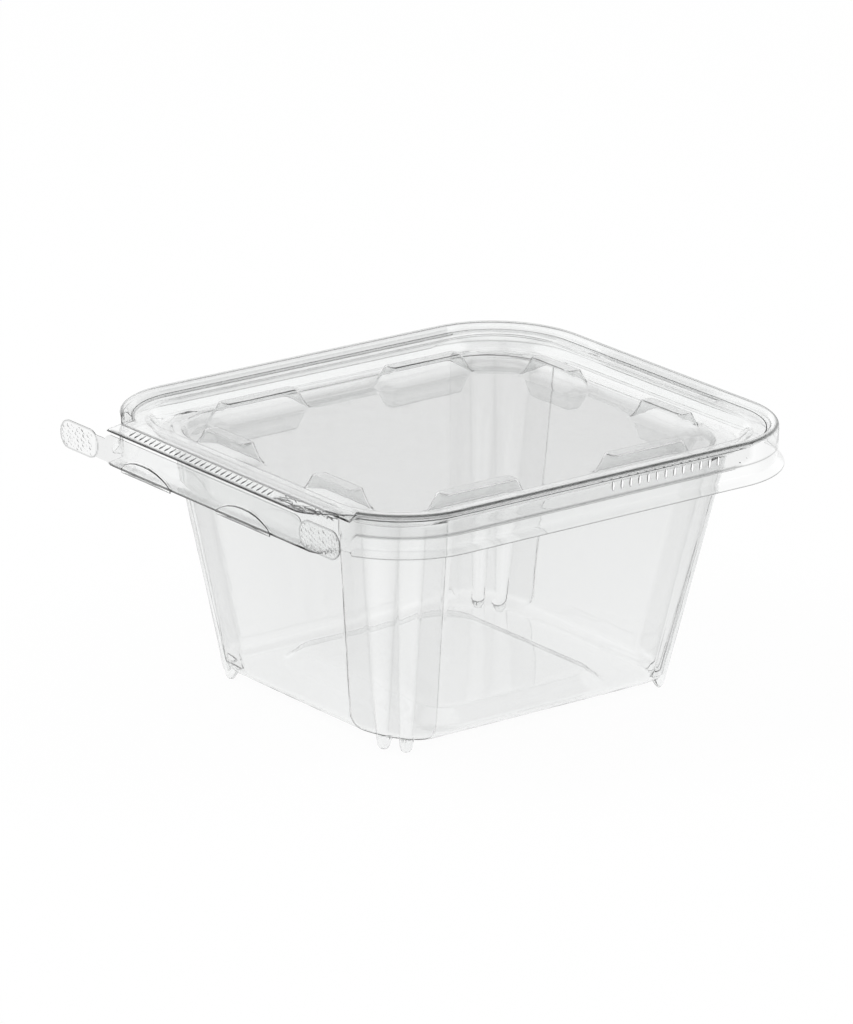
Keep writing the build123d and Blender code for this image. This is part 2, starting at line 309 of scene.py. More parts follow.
# Painted shade: the skirt's cut edge, its step and the bead's shoulder get thin dark lines: row and how much darker
PAINTED_SHADE_ROWS = (
    (0, 0.65), (1, 0.4), (10, 0.08), (11, 0.4), (12, 0.3), (13, 0.05), (24, 0.2), (25, 0.68), (26, 0.8), (27, 0.45),
)
# The grip band: depth, painted shade in the pressed band, the heights over which it starts and ends, its end along X
# and that end's rounding
BAND_DEEP = 0.8
BAND_PAINTED_SHADE = 0.11
BAND_LOW, BAND_HIGH = (59.15, 59.6), (63.5, 63.95)
BAND_END_X = 44.0
BAND_ROUND = 4.0
# The hinge side: the plate's reach past its edge, and places along Y over which the plate and the web end
HINGE_PLATE = 5.0
PLATE_END_Y, WEB_END_Y = (38.6, 40.6), (42.3, 43.6)
# The plate's edge along X, then the web's foot, its run up, its top and the run over it, as (x, z)
PLATE_EDGE_X = -64.35
WEB_FOOT, WEB_RUN = (-64.2, 55.45), (1.75, 6.8)
WEB_TOP, WEB_OVER = (-62.38, 62.33), (0.43, 0.07)

# Rows of the cup's walls as (height, distance out from the drafted wall)
MOUTH_ROWS = ((59.38, 0.95), (59.2, 0.58), (58.8, 0.27), (58.2, 0.08))
WALL_HEIGHTS = (
    57.4, 56.0, 52.0, 46.0, 39.0, 31.0, 23.0, 16.5, 12.5, 10.5, 9.4,
    8.6, 7.9, 7.2, 6.6, 6.0, 5.4, 5.0, 4.7, 4.4, 4.15,
)
BASE_Z = FOOT_Z + SHEET
BASE_TURN_IN, BASE_TURN_UP = 2.6, 1.9
# Corner columns: how proud, the rounding of their lower end, and half the width of the step beside them
COLUMN_PROUD = 0.8
COLUMN_FOOT_Z, COLUMN_FOOT_R = 3.2, 3.6
COLUMN_STEP = 0.55
# Reach past the corner's arc less COLUMN_BACK, at the foot and added up to the ledge, by the side's direction
COLUMN_BACK = 0.9
COLUMN_REACH_X, COLUMN_REACH_Y = (1.2, 2.2), (1.5, -0.8)

# Rows of the floor as (half size X, half size Y, corner radius X, corner radius Y, rise)
FLOOR_ROWS = (
    (35.0, 32.3, 12.5, 12.5, 0.0), (30.0, 31.6, 10.5, 10.5, 0.0), (28.1, 31.1, 10.0, 10.0, 0.02),
    (27.5, 30.5, 9.7, 9.7, 0.2), (26.9, 29.9, 9.2, 9.2, 0.62), (25.6, 28.6, 8.0, 8.0, 1.75),
    (24.6, 27.6, 7.0, 7.0, 2.65), (24.2, 27.2, 6.6, 6.6, 2.93), (23.7, 26.7, 6.2, 6.2, 3.04),
    (23.0, 26.0, 5.8, 5.8, 3.05), (20.0, 23.0, 5.2, 5.2, 3.05), (14.0, 17.0, 4.2, 4.2, 3.05),
    (8.0, 11.0, 3.2, 3.2, 3.05), (2.0, 3.0, 0.9, 0.9, 3.05),
)
PANEL_ROW = 10
FLOOR_TINT, FLOOR_PANEL_TINT = 0.975, 0.948

# Ribs of a corner as (middle at the foot, middle at the ledge, radius at the ledge)
RIBS = (((40.0, 28.3), (41.55, 33.3), 10.5), ((37.3, 33.0), (42.55, 39.8), 5.6))
RIB_FOOT_Z = 1.3
RIB_FOOT_R = 1.55 - SHEET
# Heights over which the ribs fade out below the ledge
RIB_END = (58.6, 59.4)


def cup_half(z):
    """Outer half sizes of the cup at height z."""
    return 41.4 + 0.18 * z, 35.4 + 0.181 * z


def cup_round(z):
    """Half axes of the cup's corners at height z."""
    share = (z - FOOT_Z) / (LEDGE_Z - FOOT_Z)
    return 9.6 + 4.4 * share, 16.2 + 1.8 * share


def capsule_exit(p, n, foot, top, r_foot, r_top):
    """How far p has to go along n to leave a tapered round bar, and 0 where it is outside it."""
    axis = top - foot
    length2 = axis @ axis
    t = np.zeros(len(p))

    def inside(q):
        h = np.clip(((q - foot) @ axis) / length2, 0, 1)
        return r_foot + h * (r_top - r_foot) - np.linalg.norm(q - foot - h[:, None] * axis, axis=1)

    start = inside(p)
    for _ in range(40):
        t += np.maximum(inside(p + n * t[:, None]), 0)
    return np.where(start > 0, t, 0)


def grip_band(x, y, z, rim_x):
    """How far the grip band is pressed in, from 0 to 1: round the long sides, and in the middle of the far end."""
    upright = smooth(z, *BAND_LOW) * (1 - smooth(z, *BAND_HIGH))
    turn_in = BAND_ROUND * (1 - smooth(z, 59.2, 61.2)) ** 2
    square_end = smooth(-x, -BAND_END_X - 0.6, -BAND_END_X + 0.6)
    long_side = square_end * smooth(-x, -BAND_END_X + turn_in, 1 - BAND_END_X + turn_in)
    far_end = np.where(rim_x > 60, window(y, -22, 22, 1.2), 0)
    return upright * np.maximum(np.where(rim_x < 60, long_side, 0), far_end)


def hinge_row(k, rim, inner, plate):
    """Rim row k on the hinge side, where a flat plate and a sloped web take the place of skirt and bead."""
    rim_x, rim_y = rim
    at_end = np.abs(rim_y) > 30
    if k <= EDGE_ROW:
        out = plate * (1 - k / EDGE_ROW)
        x = PLATE_EDGE_X - out
        z = SKIRT_LOW + SHEET + (0.06 if k == EDGE_ROW else 0)
        return np.where(at_end, np.maximum(x, rim_x - out), x), rim_y, z
    if k < BEAD_ROW:
        share = (k - EDGE_ROW) / (BEAD_ROW - EDGE_ROW)
        x, z = WEB_FOOT[0] + WEB_RUN[0] * share, WEB_FOOT[1] + WEB_RUN[1] * share
    else:
        share = (k - BEAD_ROW) / (FLAT_ROW - BEAD_ROW)
        x, z = WEB_TOP[0] + WEB_OVER[0] * share, WEB_TOP[1] + WEB_OVER[1] * min(1, 3 * share)
    x = np.where(at_end, np.maximum(x, rim_x + 0.02), x)
    x = np.minimum(x, np.minimum(inner[0] - 0.02 * (FLAT_ROW - k), -40.0))
    y = blend(rim_y, inner[1], max(0, (k - BEAD_ROW) / (FLAT_ROW - BEAD_ROW)))
    return x, y, z


def rim_rows(loop):
    """Rows of the rim, the grip band's share on each, and 1 along the hinge plate."""
    rim = loop.rim(0)
    inner = loop.rim(RIM_ROWS[FLAT_ROW][0])
    gate = np.where(rim[0] < -30, 1 - smooth(np.abs(rim[1]), *WEB_END_Y), 0.0)
    plate = HINGE_PLATE * (1 - smooth(np.abs(rim[1]), *PLATE_END_Y))
    points = []
    band = np.zeros((len(RIM_ROWS), loop.count))
    for k, (inset, height) in enumerate(RIM_ROWS):
        x, y = loop.rim(inset)
        z = np.full(loop.count, height)
        if k < FLAT_ROW:
            band[k] = grip_band(x, y, height, rim[0])
            pressed_x, pressed_y = loop.rim(inset + 1)
            x, y = blend(x, pressed_x, BAND_DEEP * band[k]), blend(y, pressed_y, BAND_DEEP * band[k])
        if k <= FLAT_ROW:
            hinge_x, hinge_y, hinge_z = hinge_row(k, rim, inner, plate)
            x, y, z = blend(x, hinge_x, gate), blend(y, hinge_y, gate), blend(z, hinge_z, gate)
        points.append(flat_row((x, y), z))
    return points, band, gate


def cup_rows(loop):
    """Rows of the cup from its mouth to the turn into its base, and how far the corner columns stand proud."""
    angle = loop.corner_angle()
    in_corner = ~np.isnan(angle)
    arc_share = np.where(in_corner, angle / 90.0, 0.0)
    faces_x, past = loop.facing_x(), loop.past_corner()
    rows = [(z, -out) for z, out in MOUTH_ROWS] + [(z, 0.0) for z in WALL_HEIGHTS]
    for a in np.linspace(0.1, math.pi / 2, 20):
        rows.append((BASE_Z + BASE_TURN_UP * (1 - math.sin(a)), BASE_TURN_IN * (1 - math.cos(a))))
    points, columns = [], []
    for z, inset in rows:
        hx, hy = cup_half(z)
        rx, ry = cup_round(z)
        hx, hy = hx - SHEET - inset, hy - SHEET - inset
        x, y = loop.ring(hx, hy, rx, ry)
        proud_x, proud_y = loop.ring(hx + 1, hy + 1, rx + 1, ry + 1)
        # Corner columns stand proud of the flat walls, with a rounded lower end
        half_arc = 0.5 * math.pi * math.sqrt((rx * rx + ry * ry) / 2) / 2
        from_middle = np.abs(arc_share - 0.5) * 2 * half_arc
        from_middle = np.where(in_corner, from_middle, half_arc + past * np.where(faces_x, hy - ry, hx - rx))
        high = (z - FOOT_Z) / (LEDGE_Z - FOOT_Z)
        reach_x, reach_y = (foot + more * high for foot, more in (COLUMN_REACH_X, COLUMN_REACH_Y))
        edge = half_arc - COLUMN_BACK + np.where(faces_x, reach_x, reach_y)
        dist = from_middle - edge
        if z < COLUMN_FOOT_Z + COLUMN_FOOT_R:
            below = COLUMN_FOOT_Z + COLUMN_FOOT_R - z
            dist = np.hypot(np.maximum(dist + COLUMN_FOOT_R, 0), below) - COLUMN_FOOT_R
        column = 1 - smooth(dist, -COLUMN_STEP, COLUMN_STEP)
        columns.append(column)
        x, y = blend(x, proud_x, COLUMN_PROUD * column), blend(y, proud_y, COLUMN_PROUD * column)
        points.append(flat_row((x, y), z))
    return points, np.array(columns)


def draw_ribs(p, first, count):
    """Draw the sheet out round two ribs in each corner, on count rows from the first. How far each point went."""
    out = grid_normals(p)
    if out[first + 7, 0, 0] < 0:
        out = -out
    region = slice(first, first + count)
    block, away = p[region].reshape(-1, 3), out[region].reshape(-1, 3)
    push = np.zeros(len(block))
    for foot, top, top_r in RIBS:
        for sx in (-1, 1):
            for sy in (-1, 1):
                foot_at = np.array([sx * foot[0], sy * foot[1], RIB_FOOT_Z])
                top_at = np.array([sx * top[0], sy * top[1], LEDGE_Z])
                push = np.maximum(push, capsule_exit(block, away, foot_at, top_at, RIB_FOOT_R, top_r))
    push = push.reshape(p[region].shape[:2])
    push = 0.6 * push + 0.2 * (np.roll(push, 1, 1) + np.roll(push, -1, 1))
    push[1:-1] = 0.6 * push[1:-1] + 0.2 * (push[:-2] + push[2:])
    fade = 1 - smooth(block[:, 2], *RIB_END)
    p[region] = (block + away * (push.reshape(-1) * fade)[:, None]).reshape(p[region].shape)
    return push


def wall_tint_and_shade(z, column, rib):
    """Tint of the walls, with painted shade: grey walls that are lighter towards the bottom, greyer corner columns,
    painted highlights on the rib crests and painted shade in the valleys beside them.
    """
    level = WALL_TINT_AND_SHADE + 0.055 * (1 - z / 58)
    valley = VALLEY_PAINTED_SHADE * np.exp(-(((rib - 0.10) / 0.07) ** 2))
    level = level + column * (-COLUMN_PAINTED_SHADE + CREST_PAINTED_HIGHLIGHT * smooth(rib, 0.02, 0.75) - valley)
    # Painted highlight: the step beside a column is a little lighter
    level = level + 0.2 * column * column * (1 - column)
    return blend(CLEAR, level, window(z, 4.6, 58.2, 1.6))


def build_tub():
    """The sheet from the skirt's free edge over the bead and down the cup to its floor."""
    # Denser at the ribs, and near the ends of each flat, where the corner columns step out
    corner = stops((0, 12, 5), (12, 27, 13), (27, 40, 21), (40, 50, 10), (50, 63, 21), (63, 71, 7), (71, 90, 8))
    flat = stops((-1, -0.76, 10), (-0.76, 0.76, 6), (0.76, 1, 10))
    loop = Loop(flat, flat, corner)
    rim, band, gate = rim_rows(loop)
    cup, columns = cup_rows(loop)
    floor = [flat_row(loop.ring(*sizes), BASE_Z + rise) for *sizes, rise in FLOOR_ROWS]
    p = np.array(rim + cup + floor)
    cup_first, floor_first = len(rim), len(rim) + len(cup)
    push = draw_ribs(p, cup_first + 1, len(cup) + 1)
    p[..., 2] = np.maximum(p[..., 2], SHEET)

    tint = np.full(p.shape[:2], CLEAR)
    # Painted shade in the grip band
    tint[:cup_first] -= BAND_PAINTED_SHADE * band * (1 - gate)
    # Painted dark lines at the skirt's edge, its step and the bead's shoulder
    for k, dark in PAINTED_SHADE_ROWS:
        tint[k] -= dark * (1 - gate)
    wall_z = p[cup_first:floor_first, :, 2]
    rib = np.zeros(wall_z.shape)
    rib[1:] = push[:len(cup) - 1] * (1 - smooth(wall_z[1:], *RIB_END))
    tint[cup_first:floor_first] = wall_tint_and_shade(wall_z, columns, rib)
    tint[floor_first:floor_first + PANEL_ROW] = FLOOR_TINT
    tint[floor_first + PANEL_ROW:] = FLOOR_PANEL_TINT
    tint = np.clip(tint, 0.05, 1)

    thick = np.full(len(p), SHEET)
    thick[:THIN_ROWS] = RIM_SHEET
    thick[:len(EDGE_THICK)] = EDGE_THICK
    verts, faces = shell(p, thick)
    make_object("tub_shell", verts, faces, mat_tub, "tub", "tub", tint=shell_tint(tint, CLEAR))


build_tub()

# Upper edges of the two lock tongues as (y, height over the plate)
TONGUES = (
    [
        (31.9, 0.0), (31.9, 0.7), (31.3, 1.6), (30.2, 2.5), (28.6, 3.2), (26.6, 3.7), (24.0, 3.85), (21.5, 3.75),
        (19.0, 3.3), (16.8, 2.6), (15.0, 1.8), (13.8, 1.0), (13.4, 0.5), (13.4, 0.0),
    ],
    [
        (-3.6, 0.0), (-3.6, 0.6), (-4.3, 1.3), (-5.8, 2.3), (-8.0, 3.3), (-10.5, 3.9), (-13.0, 4.1), (-15.6, 4.0),
        (-18.2, 3.5), (-20.4, 2.7), (-22.2, 1.8), (-23.2, 0.9), (-23.4, 0.5), (-23.4, 0.0),
    ],
)
TONGUE_THICK = 0.16


def tongue_top(y, points):
    """Height of a tongue over the plate's underside at y."""
    ys = np.array([q[0] for q in points[1:-1]])[::-1]
    zs = np.array([q[1] for q in points[1:-1]])[::-1]
    # A trace apart, so that no two are equal
    ys = ys + np.linspace(0, 1e-6, len(ys))
    return np.interp(y, ys, zs, left=0, right=0)


def column_solid(ys, low, high, rows, x_of, thick):
    """Upright plate in columns along Y, each from low to high, with its outer face at x_of(y, z)."""
    share = np.linspace(0, 1, rows)
    grid_y = np.repeat(ys[:, None], rows, 1)
    grid_z = low[:, None] + (high - low)[:, None] * share[None]
    outer = np.stack([x_of(grid_y, grid_z), grid_y, grid_z], 2)
    inner = outer + np.array([thick, 0, 0])
    verts = np.concatenate([outer.reshape(-1, 3), inner.reshape(-1, 3)])
    off = len(ys) * rows
    top = rows - 1
    faces = []
    for i in range(len(ys) - 1):
        here, there = i * rows, (i + 1) * rows
        for j in range(top):
            a, b, c, d = here + j, there + j, there + j + 1, here + j + 1
            faces.append([d, c, b, a])
            faces.append([a + off, b + off, c + off, d + off])
        faces.append([here, there, there + off, here + off])
        faces.append([here + top + off, there + top + off, there + top, here + top])
    for j in range(top):
        faces.append([j + off, j + 1 + off, j + 1, j])
        e = (len(ys) - 1) * rows + j
        faces.append([e, e + 1, e + 1 + off, e + off])
    return verts, faces


def build_tongues():
    """Two plates that stand on the hinge plate's edge and hold the closed lid."""
    for number, points in enumerate(TONGUES):
        ys = np.linspace(points[-1][0], points[0][0], 60)
        low = np.full(len(ys), SKIRT_LOW + 0.02)
        high = SKIRT_LOW + np.maximum(tongue_top(ys, points), 0.4)
        verts, faces = column_solid(ys, low, high, 8, lambda y, z: np.full_like(y, STRIP_OUT + 0.10), TONGUE_THICK)
        make_object(f"tongue_{number + 1}", verts, faces, mat_tub, "tub")


build_tongues()


# ---------------------------------------------------------------- tear strip
# Ends along Y of the strip's body and its pull tabs, and the half height and end radius of each
BODY_SPAN, BODY_HALF, BODY_END = (-34.5, 39.0), 3.5, 2.5
NEAR_TAB, FAR_TAB = (-48.1, -33.5), (41.25, 55.85)
TAB_HALF, TAB_END = 3.45, 3.3
LINK_HALF = 2.65
STRIP_MIDDLE_Z = 59.05
FAR_MIDDLE_Z = 58.5
STRIP_THICK = 0.18
STIPPLE_HIGH = 0.40
CREASE_Z, CREASE_DEEP = 58.4, 0.14
# How far the windows clear the tongues, and the least height over the plate that they clear
WINDOW_GAP, WINDOW_LEAST = 0.3, 0.95


def rounded_bar(y, y0, y1, half, r):
    """Half height of a rounded bar from y0 to y1."""
    d = np.clip(np.minimum(y - y0, y1 - y), 0, None)
    return np.where(d >= r, half, half - r + np.sqrt(np.maximum(r * r - (r - np.minimum(d, r)) ** 2, 0)))


def stipple(y, z, y0, y1, middle):
    """Pyramid stipple of a pull tab, on a skewed net."""
    u, v = (y * 0.9 + z * 0.55) / 1.2, (z * 0.95 - y * 0.35) / 1.1
    iu, iv = np.floor(u), np.floor(v)
    jitter = np.sin(iu * 12.9898 + iv * 78.233) * 43758.5453
    jitter = jitter - np.floor(jitter)
    fu, fv = u - iu - 0.5, v - iv - 0.5
    peak = 1 - 2.1 * np.maximum(np.abs(fu + 0.3 * (jitter - 0.5)), np.abs(fv - 0.3 * (jitter - 0.5)))
    inside = window(y, y0 + 0.9, y1 - 0.9, 0.5) * (1 - smooth(np.abs(z - middle), 2.5, 3.0))
    return np.clip(peak, 0, 1) * (0.55 + 0.45 * jitter) * inside


def strip_face(y, z):
    """X of the strip's outer face, with one long crease and the tabs' stipple."""
    crease = CREASE_DEEP * (1 - smooth(np.abs(z - CREASE_Z), 0.0, 1.6)) * window(y, -30, 38, 4)
    near = stipple(y, z, -48.1, -33.6, STRIP_MIDDLE_Z)
    far = stipple(y, z, 42.6, 55.85, FAR_MIDDLE_Z)
    return STRIP_OUT + 0.40 - crease - STIPPLE_HIGH * (near + far)


def strip_tint_and_shade(y, z):
    """Greyer at the far end, a painted highlight that makes the tabs a little lighter, and painted shade as a thin
    dark line round each tab.
    """
    tab = np.maximum(window(y, -47.7, -33.9, 0.6), window(y, 42.4, 55.5, 0.6))
    line = np.zeros(len(y))
    for (y0, y1), middle in ((NEAR_TAB, STRIP_MIDDLE_Z), (FAR_TAB, FAR_MIDDLE_Z)):
        past_flat = np.maximum(np.abs(y - (y0 + y1) / 2) - ((y1 - y0) / 2 - TAB_HALF), 0)
        ring = np.exp(-(((np.hypot(past_flat, z - middle) - TAB_END) / 0.16) ** 2))
        line = np.maximum(line, ring * (y > y0 - 0.1) * (y < y1 + 0.1))
    return STRIP_TINT - 0.06 * smooth(y, 26, 36) * (1 - tab) + 0.04 * tab - 0.45 * line


def build_strip():
    """The strip between the two folds, with a tab at each end and windows for the tongues in its lower edge."""
    ys = np.concatenate([
        np.arange(-48.1, -33.3, 0.24), np.arange(-33.3, 39.0, 0.7),
        np.arange(39.0, 42.4, 0.4), np.arange(42.4, 55.85, 0.24), [55.85],
    ])
    body = rounded_bar(ys, *BODY_SPAN, BODY_HALF, BODY_END)
    near_tab, far_tab = (rounded_bar(ys, *span, TAB_HALF, TAB_END) for span in (NEAR_TAB, FAR_TAB))
    high = np.full(len(ys), -np.inf)
    low = np.full(len(ys), np.inf)
    for first, last, middle, half in (
        (*BODY_SPAN, STRIP_MIDDLE_Z, body),
        (NEAR_TAB[0] - 0.01, NEAR_TAB[1], STRIP_MIDDLE_Z, near_tab),
        (BODY_SPAN[1] - 2.5, 45, FAR_MIDDLE_Z, LINK_HALF),
        (FAR_TAB[0], FAR_TAB[1] + 0.01, FAR_MIDDLE_Z, far_tab),
    ):
        here = (ys >= first) & (ys <= last)
        high = np.where(here, np.maximum(high, middle + half), high)
        low = np.where(here, np.minimum(low, middle - half), low)
    for points in TONGUES:
        # Room for the strip to swing past the tongue's ends
        top = SKIRT_LOW + np.maximum(tongue_top(ys, points), WINDOW_LEAST) + WINDOW_GAP
        here = (ys > points[-1][0] - WINDOW_GAP) & (ys < points[0][0] + WINDOW_GAP)
        low = np.where(here, np.maximum(low, top), low)
    high = np.maximum(high, low + 0.05)
    verts, faces = column_solid(ys, low, high, 28, strip_face, STRIP_THICK)
    tint = strip_tint_and_shade(verts[:, 1], verts[:, 2])
    make_object("strip_sheet", verts, faces, mat_strip, "strip", "tear_strip", 40, tint=tint)


build_strip()


# ---------------------------------------------------------------- lid
LID_EDGE = 2.8
LID_TOP = 63.2
LID_FOLD_X = -69.5
PANEL_Z = 58.2
PANEL_X, PANEL_Y, PANEL_R = 51.95, 43.6, 15.5
LID_EDGE_SHEET = 0.13
LID_THIN_ROWS = 18

# Shares of the way from the flange's outer edge to its rounded outline
FLANGE_SHARES = (0.0, 0.06, 0.25, 0.5, 0.75, 0.94)
# Rows of the flange and the border as (distance in from the rim's outline, height)
BORDER_ROWS = (
    (2.85, 63.2), (3.6, 63.2), (5.2, 63.2), (6.6, 63.2), (6.85, 63.15), (7.1, 62.98), (7.5, 62.52), (8.3, 61.5),
    (8.95, 60.68), (9.2, 60.4), (9.45, 60.24), (9.75, 60.2),
)
# Rows down to the panel as (distance in from the border's inner edge, height), then distances on the panel
STEP_ROWS = (
    (-1.6, 60.2), (-0.9, 60.2), (-0.35, 60.2), (-0.12, 60.17), (0.08, 60.08), (0.3, 59.85), (0.55, 59.5),
    (0.85, 59.1), (1.1, 58.8), (1.35, 58.52), (1.6, 58.34), (1.9, 58.23),
)
PANEL_INSETS = (
    2.2, 2.8, 3.5, 4.3, 4.75, 5.1, 5.35, 5.55, 5.75, 5.95, 6.15, 6.35, 6.55, 6.8, 7.2, 8.0,
    10.0, 15.0, 24.0, 34.0, 42.0,
)

# Stacking lugs, two on each side: the side's direction, places along it, half lengths at the foot and at the top
LUG_SIDES = (("y", 24.5, 13.5, 10.75), ("x", 20.0, 11.0, 7.5))
LUG_RISE = 4.8
LUG_DEPTH, LUG_HALF_WIDE = 3.5, 2.0
LUG_ROUND = 1.3
LUG_END_RUN, LUG_OUTER_RUN, LUG_INNER_RUN = 3.6, 3.4, 1.9
LUG_BLEND = 0.12
LUG_LIMIT_Z = 63.05


def side_places(flat, centre, half_foot):
    """Shares along a flat, dense where the lugs' ends slope."""
    marks = set()
    for c in (-centre, centre):
        for sign in (-1, 1):
            for d in np.arange(-1.0, 4.6, 0.42):
                marks.add(round(c + sign * (half_foot - d), 3))
    for v in np.arange(-flat, flat, 2.2):
        marks.add(round(float(v), 3))
    kept = []
    for m in sorted(m for m in marks if -flat <= m < flat - 0.05):
        if not kept or m - kept[-1] > 0.25:
            kept.append(m)
    kept[0] = -flat
    return np.array(kept) / flat


def lug_shape(along, depth, half_top):
    """A lug's height from 0 to 1, and its distance out from the top as a share of the slope's run."""
    past_end = np.abs(along) - (half_top - LUG_ROUND)
    past_side = np.abs(depth - LUG_DEPTH) - (LUG_HALF_WIDE - LUG_ROUND)
    q, w = np.maximum(past_end, 0), np.maximum(past_side, 0)
    from_top = np.hypot(q, w) - LUG_ROUND + np.minimum(np.maximum(past_side, past_end), 0)
    share = q * q / np.maximum(q * q + w * w, 1e-9)
    side_run = np.where(depth < LUG_DEPTH, LUG_OUTER_RUN, LUG_INNER_RUN)
    u = from_top / (LUG_END_RUN * share + (1 - share) * side_run)
    g = np.where(u < 1, np.maximum(1 - np.maximum(u, 0), 0) ** 1.5, 0) - 0.3 * np.maximum(u - 1, 0)
    # The top edge is rounded a little
    return g - 0.035 * np.exp(-(np.minimum(u, 0) / 0.09) ** 2) * (u < 1), u


def add_lugs(x, y, z):
    """Heights of a row with the stacking lugs, which rise from the panel beside the border."""
    for kind, centre, _, half_top in LUG_SIDES:
        across, run, edge = (y, x, PANEL_Y) if kind == "y" else (x, y, PANEL_X)
        for side in (-1, 1):
            for place in (-centre, centre):
                g, u = lug_shape(run - place, edge - side * across, half_top)
                near = side * across > 20
                lug = np.where(near, PANEL_Z + LUG_RISE * g, -1e3)
                higher = np.maximum(z, lug)
                total = np.exp((z - higher) / LUG_BLEND) + np.exp((lug - higher) / LUG_BLEND)
                z = np.where(near & (u < 1.3), higher + LUG_BLEND * np.log(total), z)
    return np.minimum(z, LUG_LIMIT_Z)


def build_lid():
    """The flange with its hinge side out at the fold, the recessed border and the panel with its lugs."""
    (_, y_centre, y_foot, _), (_, x_centre, x_foot, _) = LUG_SIDES
    side_y = side_places(PANEL_X - PANEL_R, y_centre, y_foot)
    side_x = side_places(PANEL_Y - PANEL_R, x_centre, x_foot)
    loop = Loop(side_x, side_y, stops((0, 90, 46)))
    rows = []
    # The flange of the hinge side reaches out to the fold between its two rounded ends
    edge_x, edge_y = loop.rim(LID_EDGE)
    past_end = np.where(edge_y > 0, smooth(edge_y, 38.2, 42.2), smooth(-edge_y, 31.5, 43.5))
    reach = np.where(edge_x < -30, 1 - past_end, 0)
    fold_x = blend(edge_x, LID_FOLD_X, reach)
    for k, share in enumerate(FLANGE_SHARES):
        drop = 0.12 * (1 - reach) if k == 0 else 0
        rows.append(flat_row((blend(fold_x, edge_x, share), edge_y), LID_TOP - drop))
    for inset, z in BORDER_ROWS:
        rows.append(flat_row(loop.rim(inset), z))
    for inset, z in STEP_ROWS + tuple((inset, PANEL_Z) for inset in PANEL_INSETS):
        r = max(PANEL_R - inset, 1.5) if inset <= 15 else 0.3
        x, y = loop.ring(PANEL_X - inset, PANEL_Y - inset, r, r)
        rows.append(flat_row((x, y), add_lugs(x, y, np.full(loop.count, z))))
    p = np.array(rows)

    # Painted shade on the recessed panel, darker on its lower parts
    inside_x = 1 - smooth(np.abs(p[..., 0]), PANEL_X - 1, PANEL_X + 1.5)
    inside_y = 1 - smooth(np.abs(p[..., 1]), PANEL_Y - 1, PANEL_Y + 1.5)
    low = 1 - 0.6 * smooth(p[..., 2], 58.6, 60.5)
    tint = CLEAR + (PANEL_TINT_AND_SHADE - CLEAR) * (inside_x * inside_y) * low
    # Painted shade: the free edge gets a thin dark line
    for k, dark in ((0, 0.75), (1, 0.30)):
        tint[k] -= dark * (1 - reach)

    thick = np.full(len(p), SHEET)
    thick[:LID_THIN_ROWS] = RIM_SHEET
    thick[0] = LID_EDGE_SHEET
    verts, faces = shell(p, thick)
    make_object("lid_shell", verts, faces, mat_lid, "lid", "lid", tint=shell_tint(tint, PANEL_TINT_AND_SHADE))


build_lid()


# ---------------------------------------------------------------- small embossed ridges
def ridges(name, bars, material, body):
    """Low rounded bars on a face: each is (middle, along, across, up, half length, half width, height)."""
    verts, faces = [], []
    n_turn, n_up = 16, 4
    sunk = 0.02
    for middle, along, across, up, half_l, half_w, height in bars:
        middle, along, across, up = (np.array(v, float) for v in (middle, along, across, up))
        base = len(verts)
        for k in range(n_up):
            tilt = 0.5 * math.pi * k / n_up
            for i in range(n_turn):
                t = 2 * math.pi * i / n_turn
                c, s = math.cos(t) * math.cos(tilt), math.sin(t) * math.cos(tilt)
                rise = height * math.sin(tilt) - sunk
                verts.append(middle + along * c * half_l + across * s * half_w + up * rise)
        verts.append(middle + up * (height - sunk))
        verts.append(middle - up * sunk)
        top, bottom = base + n_up * n_turn, base + n_up * n_turn + 1
        for i in range(n_turn):
            j = (i + 1) % n_turn
            for k in range(n_up - 1):
                a, b = base + k * n_turn, base + (k + 1) * n_turn
                faces.append([a + i, a + j, b + j, b + i])
            last = base + (n_up - 1) * n_turn
            faces.append([last + i, last + j, top])
            faces.append([base + j, base + i, bottom])
    make_object(name, verts, faces, material, body)


def lying_bar(x, y, degrees, half_l, half_w, height):
    """A bar on the lid's flange, turned from X by an angle."""
    angle = math.radians(degrees)
    along = (math.cos(angle), math.sin(angle), 0)
    across = (-math.sin(angle), math.cos(angle), 0)
    return (x, y, LID_TOP), along, across, (0, 0, 1), half_l, half_w, height


FLANGE_MIDDLE_X = -66.3
RIDGE_SLANT, RIDGE_PITCH = 28, 1.9
CREASE_COUNT = 90


def flange_ridges():
    """Slanted grip ridges on the lid's hinge flange, and the creased film at its near end."""
    rng = np.random.default_rng(11)
    places = np.arange(-18.5, 34.5, RIDGE_PITCH)
    bars = [lying_bar(FLANGE_MIDDLE_X, y, RIDGE_SLANT, 1.9, 0.26, 0.16) for y in places]
    for _ in range(CREASE_COUNT):
        y = rng.uniform(-40.5, -21.5)
        x = rng.uniform(-68.4, -64.4) + 3.0 * max(0, (-y - 33.5) / 9)
        if x > -62.9:
            continue
        degrees = 90 + rng.normal(0, 22)
        half_l, half_w, height = rng.uniform(0.7, 2.1), rng.uniform(0.10, 0.2), rng.uniform(0.06, 0.14)
        bars.append(lying_bar(x, y, degrees, half_l, half_w, height))
    ridges("flange_ridges", bars, mat_lid, "lid")


def skirt_ridges():
    """Short upright grip ridges in the middle of the front band."""
    bars = []
    for x in np.arange(3.0, 36.0, 2.6):
        bars.append(((x, -RIM_Y + BAND_DEEP, 61.6), (0, 0, 1), (1, 0, 0), (0, -1, 0), 1.2, 0.45, 0.06))
    ridges("skirt_ridges", bars, mat_tub, "tub")


flange_ridges()
skirt_ridges()


